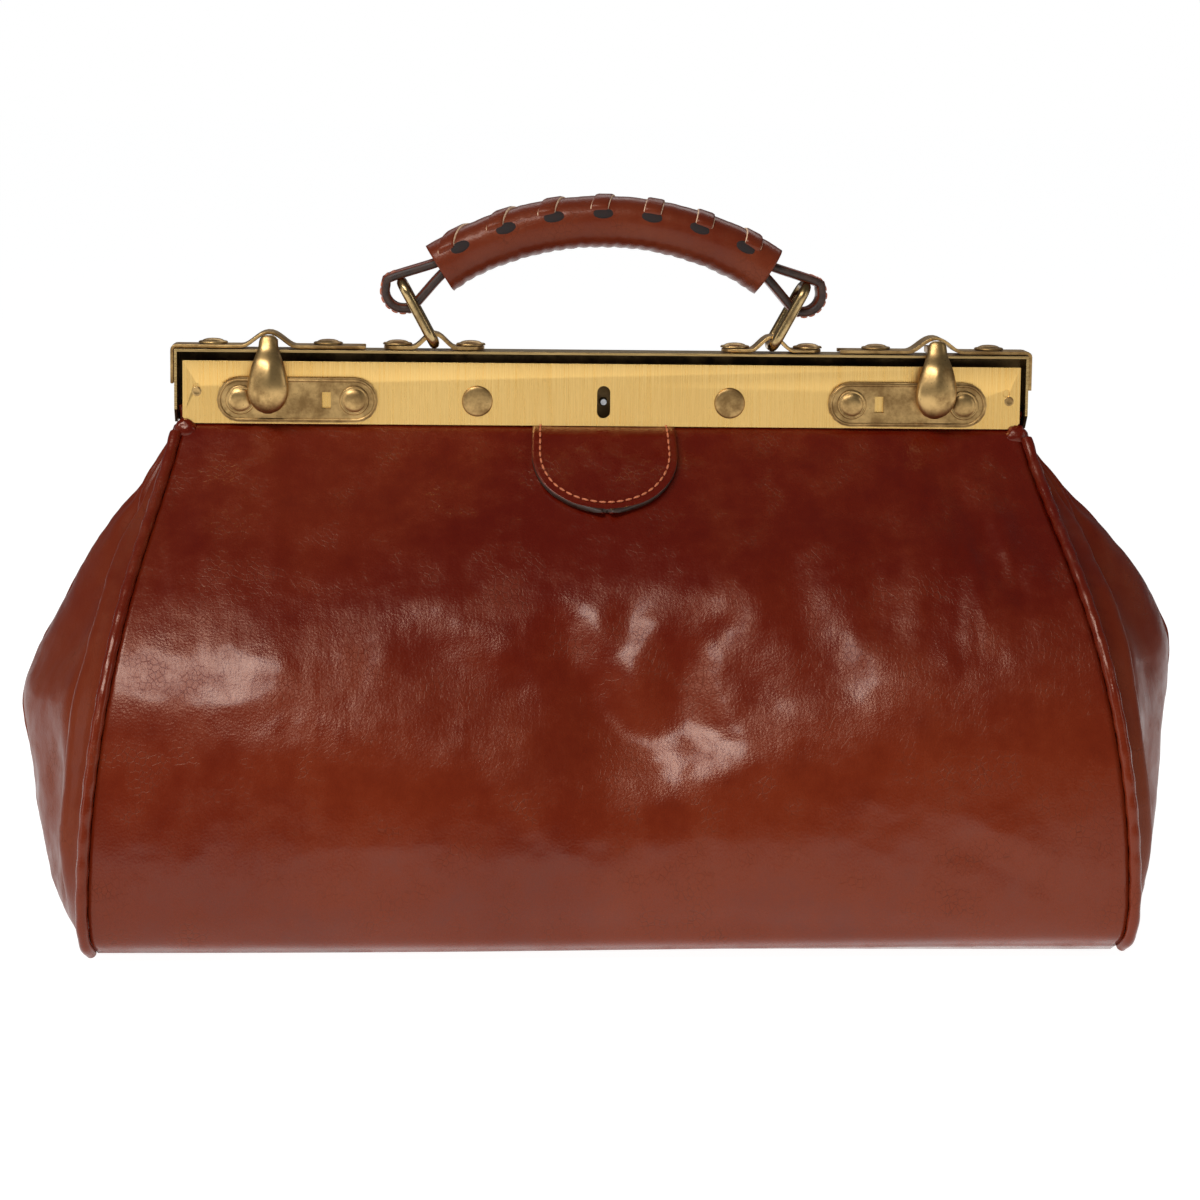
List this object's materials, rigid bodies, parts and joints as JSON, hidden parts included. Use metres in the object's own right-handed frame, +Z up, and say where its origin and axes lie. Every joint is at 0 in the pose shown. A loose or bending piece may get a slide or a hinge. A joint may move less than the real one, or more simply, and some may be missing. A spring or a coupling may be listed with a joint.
{
  "type": "doctor bag",
  "caption": "Leather doctor bag with a hinged brass frame mouth, riveted catches, a hanging lock tab and a laced top handle on rings.",
  "frame": {"origin": "on the floor under the middle of the bag's box", "axes": "+Z up, +X along the bag's length, the front faces -Y"},
  "size_m": [0.416, 0.1908, 0.2585],
  "materials": {
    "bag_leather": "waxed red-brown pull-up leather, glossy where it rounds over",
    "base_board": "plain fibre board stiffener",
    "lining_cloth": "woven cotton lining",
    "brushed_brass": "brushed straight across, lightly aged",
    "steel": "plain bright steel",
    "antique_brass": "darkened cast and stamped brass, bright on its edges",
    "handle_leather": "waxed red-brown leather with dark painted edges and pale raw lace edges",
    "padding": "packed felt"
  },
  "bodies": {
    "bag_body": {"front_panel": "bag_leather", "rear_panel": "bag_leather", "left_gusset": "bag_leather", "right_gusset": "bag_leather", "piping_front_left": "bag_leather", "piping_front_right": "bag_leather", "piping_rear_left": "bag_leather", "piping_rear_right": "bag_leather", "bottom_panel": "bag_leather", "base_board": "base_board", "lining": "lining_cloth"},
    "front_frame": {"front_plate": "brushed_brass", "front_clamp_strip": "brushed_brass", "lock_case": "brushed_brass", "lock_post": "steel", "lock_tab": "bag_leather", "front_arm_left": "brushed_brass", "front_arm_right": "brushed_brass", "left_catch_plate": "antique_brass", "right_catch_plate": "antique_brass", "catch_plate_rivet_left_inner": "antique_brass", "catch_plate_rivet_left_outer": "antique_brass", "catch_plate_rivet_right_inner": "antique_brass", "catch_plate_rivet_right_outer": "antique_brass", "lock_rivet_left": "antique_brass", "lock_rivet_right": "antique_brass"},
    "rear_frame": {"rear_frame_shell": "brushed_brass", "rear_clamp_strip": "brushed_brass", "lock_striker": "steel", "rear_arm_left": "brushed_brass", "rear_arm_right": "brushed_brass", "hinge_rivet_left": "steel", "hinge_rivet_right": "steel", "left_top_strap": "antique_brass", "right_top_strap": "antique_brass", "top_strap_rivet_left_inner": "antique_brass", "top_strap_rivet_left_outer": "antique_brass", "top_strap_rivet_right_inner": "antique_brass", "top_strap_rivet_right_outer": "antique_brass", "left_ring_bracket": "antique_brass", "right_ring_bracket": "antique_brass", "bracket_rivet_left_inner": "antique_brass", "bracket_rivet_left_outer": "antique_brass", "bracket_rivet_right_inner": "antique_brass", "bracket_rivet_right_outer": "antique_brass", "left_catch_hinge": "antique_brass", "right_catch_hinge": "antique_brass", "left_catch_pin": "steel", "right_catch_pin": "steel"},
    "bolt": {"lock_bolt": "steel"},
    "left_catch": {"left_catch_lever": "antique_brass"},
    "right_catch": {"right_catch_lever": "antique_brass"},
    "left_ring_link": {"left_ring": "antique_brass"},
    "right_ring_link": {"right_ring": "antique_brass"},
    "handle": {"handle_strap": "handle_leather", "handle_core": "padding", "handle_cover": "handle_leather", "handle_lacing": "handle_leather"}
  },
  "joints": [
    {"name": "front_frame_open", "type": "hinge", "parent": "bag_body", "child": "front_frame", "pos_m": [0, 0, 0.085], "axis": [1, 0, 0], "range_deg": [0, 50], "deforming": ["front_panel", "piping_front_left", "piping_front_right", "left_gusset", "right_gusset", "lining", "lock_tab"]},
    {"name": "rear_frame_open", "type": "hinge", "parent": "bag_body", "child": "rear_frame", "pos_m": [0, 0, 0.085], "axis": [-1, 0, 0], "range_deg": [0, 50], "deforming": ["rear_panel", "piping_rear_left", "piping_rear_right"]},
    {"name": "left_catch_flip", "type": "hinge", "parent": "rear_frame", "child": "left_catch", "pos_m": [-0.1195, -0.0086, 0.2062], "axis": [-1, 0, 0], "range_deg": [0, 150]},
    {"name": "right_catch_flip", "type": "hinge", "parent": "rear_frame", "child": "right_catch", "pos_m": [0.1195, -0.0086, 0.2062], "axis": [-1, 0, 0], "range_deg": [0, 150]},
    {"name": "left_ring_swing", "type": "hinge", "parent": "rear_frame", "child": "left_ring_link", "pos_m": [-0.0606, 0.001, 0.20545], "axis": [0, 1, 0], "range_deg": [-18, 18]},
    {"name": "handle_sway", "type": "hinge", "parent": "left_ring_link", "child": "handle", "pos_m": [-0.07229, 0.001, 0.22698], "axis": [0, 1, 0], "range_deg": [-15.3, 15.3]},
    {"name": "right_ring_swing", "type": "hinge", "parent": "rear_frame", "child": "right_ring_link", "pos_m": [0.0606, 0.001, 0.20545], "axis": [0, 1, 0], "range_deg": [-18, 18]},
    {"name": "lock_bolt_slide", "type": "slide", "parent": "front_frame", "child": "bolt", "axis": [1, 0, 0], "range_m": [0, 0.006]}
  ],
  "couplings": [
    {"joint": "rear_frame_open", "follows": "front_frame_open", "ratio": 1},
    {"joint": "handle_sway", "follows": "left_ring_swing", "ratio": -0.84},
    {"joint": "right_ring_swing", "follows": "left_ring_swing", "ratio": 1}
  ]
}
